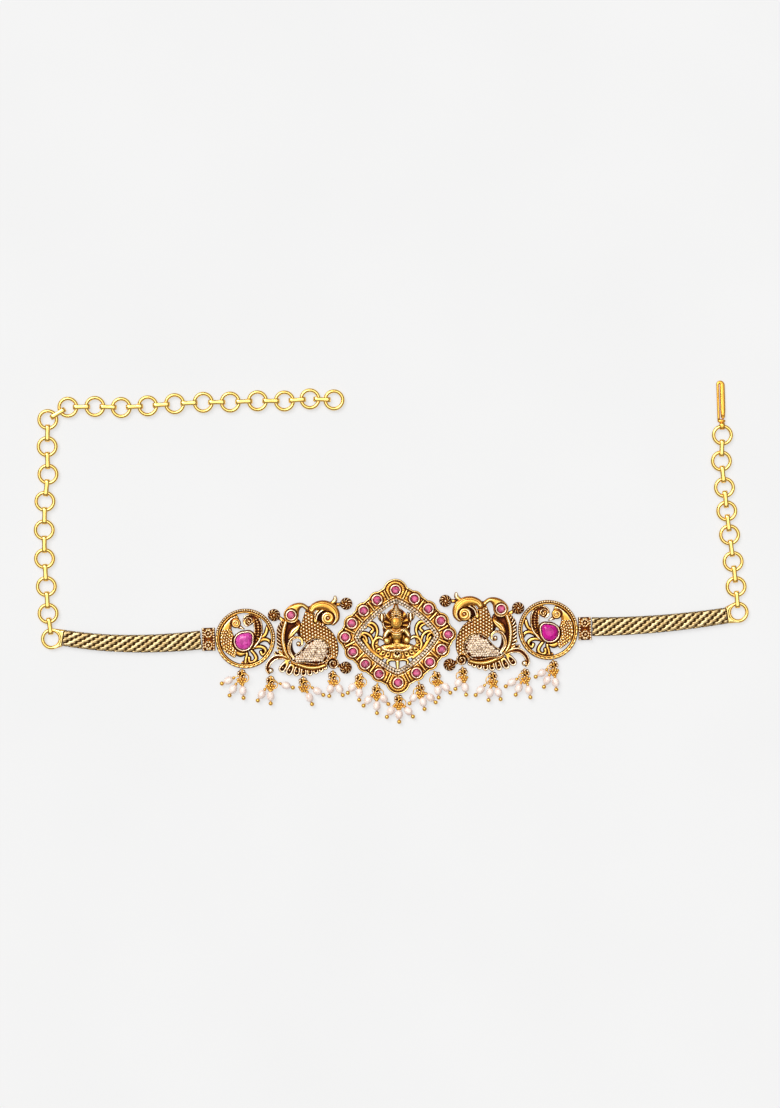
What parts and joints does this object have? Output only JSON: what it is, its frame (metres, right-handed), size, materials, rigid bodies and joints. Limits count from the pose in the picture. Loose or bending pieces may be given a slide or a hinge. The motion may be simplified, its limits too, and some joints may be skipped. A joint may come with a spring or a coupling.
{
  "type": "temple armlet",
  "caption": "Flexible upper-arm band of cast motifs with a seated figure, peacocks, pearl drops, woven straps and ring chains, laid open flat.",
  "frame": {"origin": "centre of the medallion's flat back, on the surface that the armlet lies on", "axes": "+X along the band towards the hook side, +Y across the band towards the chains, +Z out of the decorated face"},
  "size_m": [0.2141, 0.1016, 0.0043],
  "materials": {
    "antique_gold": "matte antique gold plate, dark reddish brown patina in the recesses",
    "woven_gold": "woven wire in olive antique gold",
    "polished_gold": "bright polished yellow gold plate",
    "ruby_glass": "round faceted ruby red stone, clear gloss",
    "pink_stone": "pink cabochon, gloss",
    "magenta_stone": "deep magenta cabochon, gloss",
    "white_pave": "tiny clear white stones set close in gold grains",
    "pearl": "cream pink pearl lustre"
  },
  "bodies": {
    "root": {"medallion": "antique_gold", "medallion_pave": "white_pave", "medallion_rubies": "ruby_glass", "seated_figure": "antique_gold", "peacock_left": "antique_gold", "peacock_left_pave": "white_pave", "peacock_left_ruby": "ruby_glass", "roundel_left": "antique_gold", "roundel_left_stone": "pink_stone", "collar_left": "antique_gold", "mesh_strap_left": "woven_gold", "end_ring_left": "polished_gold", "peacock_right": "antique_gold", "peacock_right_pave": "white_pave", "peacock_right_ruby": "ruby_glass", "roundel_right": "antique_gold", "roundel_right_stone": "magenta_stone", "collar_right": "antique_gold", "mesh_strap_right": "woven_gold", "end_ring_right": "polished_gold", "left_connectors": "polished_gold", "right_connectors": "polished_gold", "hook": "polished_gold", "medallion_drops": "antique_gold", "medallion_drop_pearls": "pearl", "peacock_left_drops": "antique_gold", "peacock_left_drop_pearls": "pearl", "peacock_right_drops": "antique_gold", "peacock_right_drop_pearls": "pearl", "roundel_left_drop": "antique_gold", "roundel_left_drop_pearls": "pearl", "roundel_right_drop": "antique_gold", "roundel_right_drop_pearls": "pearl", "left_ring_1": "polished_gold", "left_ring_2": "polished_gold", "left_ring_3": "polished_gold", "left_ring_4": "polished_gold", "left_ring_5": "polished_gold", "left_ring_6": "polished_gold", "left_ring_7": "polished_gold", "left_ring_8": "polished_gold", "left_ring_9": "polished_gold", "left_ring_10": "polished_gold", "left_ring_11": "polished_gold", "left_ring_12": "polished_gold", "left_ring_13": "polished_gold", "left_ring_14": "polished_gold", "left_ring_15": "polished_gold", "left_ring_16": "polished_gold", "left_ring_17": "polished_gold", "left_ring_18": "polished_gold", "left_ring_19": "polished_gold", "right_ring_1": "polished_gold", "right_ring_2": "polished_gold", "right_ring_3": "polished_gold", "right_ring_4": "polished_gold", "right_ring_5": "polished_gold", "right_ring_6": "polished_gold", "right_ring_7": "polished_gold"}
  },
  "joints": []
}
